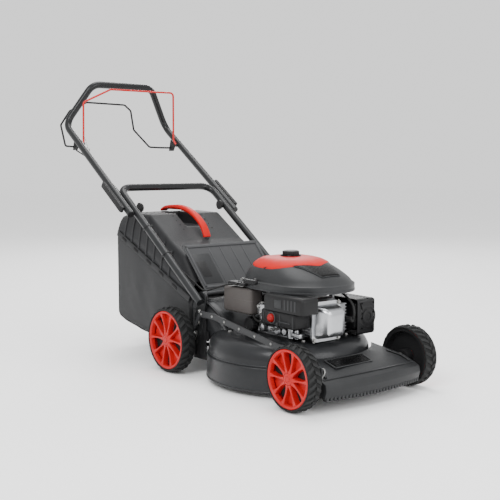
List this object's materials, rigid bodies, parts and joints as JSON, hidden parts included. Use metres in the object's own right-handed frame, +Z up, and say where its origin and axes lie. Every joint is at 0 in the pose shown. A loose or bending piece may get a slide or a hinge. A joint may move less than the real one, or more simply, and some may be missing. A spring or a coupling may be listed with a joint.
{
  "type": "petrol lawn mower",
  "caption": "Self-propelled petrol lawn mower: pressed deck, vertical engine, side wheels, folding handle with two bails, rear grass bag.",
  "frame": {"origin": "on the ground under the middle of the whole mower's bounding box", "axes": "+X forward, the way it mows; +Y to the mower's left; +Z up"},
  "size_m": [1.3934, 0.498, 0.9424],
  "materials": {
    "deck_paint": "satin",
    "nose_plastic": "satin",
    "black_plastic": "fine grain",
    "lid_plastic": "fine grain",
    "light_plastic": "satin",
    "tank_plastic": "matte",
    "red_gloss": "gloss",
    "rim_red": "satin",
    "red_bulb": "soft",
    "bail_red": "gloss",
    "bail_black": "satin",
    "handle_paint": "satin",
    "muffler_black": "matte",
    "tyre": "matte",
    "belt_rubber": "matte",
    "cable_sheath": "satin",
    "bag_fabric": "woven",
    "filter_foam": "foam",
    "rail_paint": "satin",
    "steel": "machined",
    "aluminium": "cast"
  },
  "bodies": {
    "mower": {"deck_shell": "deck_paint", "handle_bracket_left": "handle_paint", "handle_bracket_right": "handle_paint", "nose_cover": "nose_plastic", "nose_panel": "black_plastic", "gearbox": "aluminium", "drive_belt": "belt_rubber", "crankcase": "aluminium", "rocker_cover": "aluminium", "spark_plug": "steel", "muffler": "muffler_black", "muffler_guard": "muffler_black", "carburettor": "aluminium", "air_filter_base": "black_plastic", "air_filter_element": "filter_foam", "fuel_tank": "tank_plastic", "engine_cover": "black_plastic", "cover_insert": "red_gloss", "flap_rod": "steel", "brake_cable": "cable_sheath", "drive_cable": "cable_sheath"},
    "front_cranks": {"front_axle": "steel"},
    "rear_cranks": {"rear_crank_left": "steel", "rear_crank_right": "steel"},
    "tie_rod": {"height_tie_rod": "rail_paint"},
    "front_left_wheel": {"front_left_rim": "rim_red", "front_left_tyre": "tyre"},
    "front_right_wheel": {"front_right_rim": "rim_red", "front_right_tyre": "tyre"},
    "rear_left_wheel": {"rear_left_rim": "rim_red", "rear_left_tyre": "tyre", "rear_left_gear": "black_plastic"},
    "rear_right_wheel": {"rear_right_rim": "rim_red", "rear_right_tyre": "tyre", "rear_right_gear": "black_plastic"},
    "drive_shaft": {"drive_shaft": "steel"},
    "gearbox_input": {"gearbox_pulley": "steel"},
    "engine_shaft": {"crankshaft": "steel", "blade_adapter": "steel", "blade": "steel", "blade_bolt": "steel", "engine_pulley": "steel", "flywheel": "aluminium"},
    "primer": {"primer_bulb": "red_bulb"},
    "filter_cover": {"air_filter_cover": "black_plastic"},
    "oil_cap": {"oil_cap": "black_plastic"},
    "fuel_cap": {"fuel_cap": "black_plastic"},
    "recoil": {"recoil_handle": "black_plastic"},
    "lower_handle": {"lower_handle": "handle_paint"},
    "upper_handle": {"upper_handle": "handle_paint", "bail_bracket_left": "black_plastic", "bail_bracket_right": "black_plastic"},
    "clamp_left": {"clamp_lever_left": "black_plastic"},
    "clamp_right": {"clamp_lever_right": "black_plastic"},
    "blade_bail": {"blade_bail": "bail_red"},
    "drive_bail": {"drive_bail": "bail_black"},
    "flap": {"rear_flap": "light_plastic"},
    "bag": {"bag_body": "bag_fabric", "bag_lid": "lid_plastic", "bag_handle": "red_gloss"}
  },
  "joints": [
    {"name": "rear_height", "type": "hinge", "parent": "mower", "child": "rear_cranks", "pos_m": [0.06449, 0, 0.07699], "axis": [0, -1, 0], "range_deg": [0, 66]},
    {"name": "front_height", "type": "hinge", "parent": "mower", "child": "front_cranks", "pos_m": [0.63449, 0, 0.06449], "axis": [0, -1, 0], "range_deg": [0, 66]},
    {"name": "tie_rod_pivot", "type": "hinge", "parent": "rear_cranks", "child": "tie_rod", "pos_m": [0.09749, -0.1925, 0.12699], "axis": [0, -1, 0], "range_deg": [-66, 0]},
    {"name": "front_left_spin", "type": "hinge", "parent": "front_cranks", "child": "front_left_wheel", "pos_m": [0.59675, 0.225, 0.089], "axis": [0, 1, 0], "continuous": true},
    {"name": "rear_left_spin", "type": "hinge", "parent": "rear_cranks", "child": "rear_left_wheel", "pos_m": [0.02675, 0.225, 0.1015], "axis": [0, 1, 0], "continuous": true},
    {"name": "front_right_spin", "type": "hinge", "parent": "front_cranks", "child": "front_right_wheel", "pos_m": [0.59675, -0.225, 0.089], "axis": [0, 1, 0], "continuous": true},
    {"name": "rear_right_spin", "type": "hinge", "parent": "rear_cranks", "child": "rear_right_wheel", "pos_m": [0.02675, -0.225, 0.1015], "axis": [0, 1, 0], "continuous": true},
    {"name": "drive_shaft_spin", "type": "hinge", "parent": "mower", "child": "drive_shaft", "pos_m": [0.06449, 0, 0.07699], "axis": [0, 1, 0], "continuous": true},
    {"name": "engine_shaft_spin", "type": "hinge", "parent": "mower", "child": "engine_shaft", "pos_m": [0.32175, 0, 0.1], "axis": [0, 0, 1], "continuous": true},
    {"name": "gearbox_input_spin", "type": "hinge", "parent": "mower", "child": "gearbox_input", "pos_m": [0.08575, 0.125, 0.12], "axis": [0, 0, 1], "continuous": true},
    {"name": "primer_push", "type": "slide", "parent": "mower", "child": "primer", "axis": [0, 1, 0], "range_m": [0, 0.004], "stiffness_N_per_m": 300},
    {"name": "filter_cover_off", "type": "slide", "parent": "mower", "child": "filter_cover", "axis": [0, -1, 0], "range_m": [0, 0.08]},
    {"name": "oil_cap_turn", "type": "hinge", "parent": "mower", "child": "oil_cap", "pos_m": [0.27575, -0.1, 0.1725], "axis": [0, -1, 0], "continuous": true},
    {"name": "fuel_cap_turn", "type": "hinge", "parent": "mower", "child": "fuel_cap", "pos_m": [0.32975, 0, 0.38], "axis": [0, 0, 1], "continuous": true},
    {"name": "recoil_pull", "type": "slide", "parent": "mower", "child": "recoil", "axis": [0, -0.9, 0.436], "range_m": [0, 0.25], "stiffness_N_per_m": 15},
    {"name": "lower_fold", "type": "hinge", "parent": "mower", "child": "lower_handle", "pos_m": [0.12175, 0, 0.235], "axis": [0, 1, 0], "range_deg": [0, 130], "deforming": ["brake_cable", "drive_cable"]},
    {"name": "upper_fold", "type": "hinge", "parent": "lower_handle", "child": "upper_handle", "pos_m": [-0.28825, 0, 0.527], "axis": [0, -1, 0], "range_deg": [-129, 0], "deforming": ["brake_cable", "drive_cable"]},
    {"name": "clamp_left_open", "type": "hinge", "parent": "upper_handle", "child": "clamp_left", "pos_m": [-0.24425, 0.2356, 0.494], "axis": [-0.5579, 0, -0.8299], "range_deg": [0, 100]},
    {"name": "clamp_right_open", "type": "hinge", "parent": "upper_handle", "child": "clamp_right", "pos_m": [-0.24425, -0.2356, 0.494], "axis": [0.5579, 0, 0.8299], "range_deg": [0, 100]},
    {"name": "blade_bail_squeeze", "type": "hinge", "parent": "upper_handle", "child": "blade_bail", "pos_m": [-0.56325, 0, 0.712], "axis": [0, -1, 0], "range_deg": [0, 9], "stiffness_Nm_per_rad": 1.5, "springref_deg": -17.19},
    {"name": "drive_bail_squeeze", "type": "hinge", "parent": "upper_handle", "child": "drive_bail", "pos_m": [-0.61325, 0, 0.703], "axis": [0, 1, 0], "range_deg": [0, 8], "stiffness_Nm_per_rad": 1.5, "springref_deg": -17.19},
    {"name": "flap_open", "type": "hinge", "parent": "mower", "child": "flap", "pos_m": [0.11175, 0, 0.247], "axis": [0, 1, 0], "range_deg": [0, 35]},
    {"name": "bag_lift", "type": "slide", "parent": "mower", "child": "bag", "axis": [-0.97, 0, 0.243], "range_m": [0, 0.45]}
  ],
  "couplings": [
    {"joint": "front_height", "follows": "rear_height", "ratio": 1},
    {"joint": "tie_rod_pivot", "follows": "rear_height", "ratio": -1},
    {"joint": "gearbox_input_spin", "follows": "engine_shaft_spin", "ratio": 1.1667}
  ]
}
